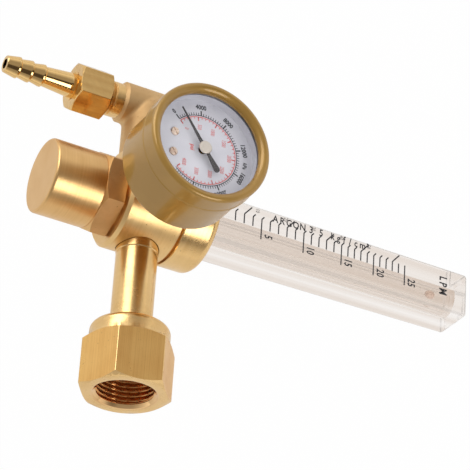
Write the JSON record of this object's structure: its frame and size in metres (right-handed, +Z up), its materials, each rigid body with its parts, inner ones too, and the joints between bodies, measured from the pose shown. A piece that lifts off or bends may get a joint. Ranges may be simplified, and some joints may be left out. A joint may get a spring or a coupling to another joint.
{
  "type": "argon flowmeter regulator",
  "caption": "Brass gas pressure regulator with a cylinder gauge, a clear flow tube with a ball, an inlet nut and a ridged hose outlet.",
  "frame": {"origin": "centre of the inlet nut's first thread turn, on the inlet axis", "axes": "+X out of the inlet nut towards the cylinder valve, +Z up the flow tube, the gauge faces -Y"},
  "size_m": [0.1261, 0.0742, 0.1928],
  "materials": {
    "polished_brass": "polished",
    "satin_brass": "satin",
    "bronze": "satin",
    "copper": "satin",
    "spring_steel": "satin",
    "screw_steel": "bright",
    "seal_rubber": "matte",
    "nylon": "matte",
    "ochre_paint": "gloss",
    "dial_face": "satin",
    "black_paint": "satin",
    "black_plastic": "matte",
    "window": "clear",
    "clear_tube": "clear"
  },
  "bodies": {
    "regulator": {"body": "polished_brass", "inlet_stem": "polished_brass", "outlet_nipple": "polished_brass", "tube_collar": "polished_brass", "gauge_socket": "polished_brass", "gland_nut": "polished_brass", "bonnet": "satin_brass", "spring_button": "satin_brass", "valve_seat": "satin_brass", "movement_back_plate": "satin_brass", "movement_front_plate": "satin_brass", "bourdon_tip": "satin_brass", "bourdon_tube": "bronze", "inlet_filter": "bronze", "gauge_washer": "copper", "range_spring": "spring_steel", "poppet_spring": "spring_steel", "dial_screws": "screw_steel", "diaphragm": "seal_rubber", "tube_seal": "seal_rubber", "inner_tube_seal": "seal_rubber", "gland_packing": "seal_rubber", "inlet_washer": "nylon", "ball_stop_top": "nylon", "ball_stop_bottom": "nylon", "gauge_case": "ochre_paint", "gauge_bezel": "ochre_paint", "gauge_dial": "dial_face", "dial_ring": "dial_face", "gauge_lens": "window", "flow_tube_cover": "clear_tube", "inner_tube": "clear_tube"},
    "inlet_nut": {"inlet_nut": "satin_brass"},
    "sector": {"sector_gear": "satin_brass"},
    "pointer_set": {"pinion": "satin_brass", "pointer": "black_paint", "pointer_hub": "polished_brass"},
    "link": {"link": "satin_brass"},
    "ball": {"float_ball": "screw_steel"},
    "regulator_plate": {"diaphragm_plate": "satin_brass"},
    "poppet": {"poppet": "satin_brass"},
    "hose_tail": {"hose_barb": "polished_brass"},
    "outlet_nut": {"outlet_nut": "polished_brass"},
    "needle": {"needle_spindle": "satin_brass"},
    "knob": {"knob": "black_plastic", "knob_screw": "screw_steel"}
  },
  "joints": [
    {"name": "inlet_nut_turn", "type": "hinge", "parent": "regulator", "child": "inlet_nut", "pos_m": [0, 0, 0], "axis": [1, 0, 0], "continuous": true},
    {"name": "sector_turn", "type": "hinge", "parent": "regulator", "child": "sector", "pos_m": [-0.0747, -0.0416, -0.012], "axis": [0, -1, 0], "range_deg": [0, 37.3], "stiffness_Nm_per_rad": 0.02},
    {"name": "pointer_turn", "type": "hinge", "parent": "regulator", "child": "pointer_set", "pos_m": [-0.0747, -0.0416, 0], "axis": [0, -1, 0], "range_deg": [-261.2, 0]},
    {"name": "link_turn", "type": "hinge", "parent": "sector", "child": "link", "pos_m": [-0.0697, -0.0416, -0.012], "axis": [0, -1, 0], "range_deg": [-37.4, 0]},
    {"name": "ball_slide", "type": "slide", "parent": "regulator", "child": "ball", "axis": [0, 0, 1], "range_m": [-0.1, 0]},
    {"name": "plate_slide", "type": "slide", "parent": "regulator", "child": "regulator_plate", "axis": [0, 0, 1], "range_m": [-0.00075, 0], "stiffness_N_per_m": 5000, "springref_m": 0.002, "deforming": ["range_spring", "diaphragm"]},
    {"name": "poppet_slide", "type": "slide", "parent": "regulator", "child": "poppet", "axis": [0, 0, 1], "range_m": [-0.00076, 0], "deforming": ["poppet_spring"]},
    {"name": "tail_slide", "type": "slide", "parent": "regulator", "child": "hose_tail", "axis": [0, 0, -1], "range_m": [0, 0.007]},
    {"name": "outlet_nut_turn", "type": "hinge", "parent": "hose_tail", "child": "outlet_nut", "pos_m": [-0.115, 0, -0.025], "axis": [0, 0, -1], "range_deg": [0, 1890]},
    {"name": "needle_slide", "type": "slide", "parent": "regulator", "child": "needle", "axis": [0, 0, 1], "range_m": [0, 0.0025]},
    {"name": "knob_turn", "type": "hinge", "parent": "needle", "child": "knob", "pos_m": [-0.115, 0, 0.024], "axis": [0, 0, 1], "range_deg": [0, 1130]}
  ],
  "couplings": [
    {"joint": "pointer_turn", "follows": "sector_turn", "ratio": -7},
    {"joint": "link_turn", "follows": "sector_turn", "ratio": -1},
    {"joint": "poppet_slide", "follows": "plate_slide", "ratio": 1},
    {"joint": "outlet_nut_turn", "follows": "tail_slide", "rad_per_m": 4699},
    {"joint": "knob_turn", "follows": "needle_slide", "rad_per_m": 7854}
  ]
}
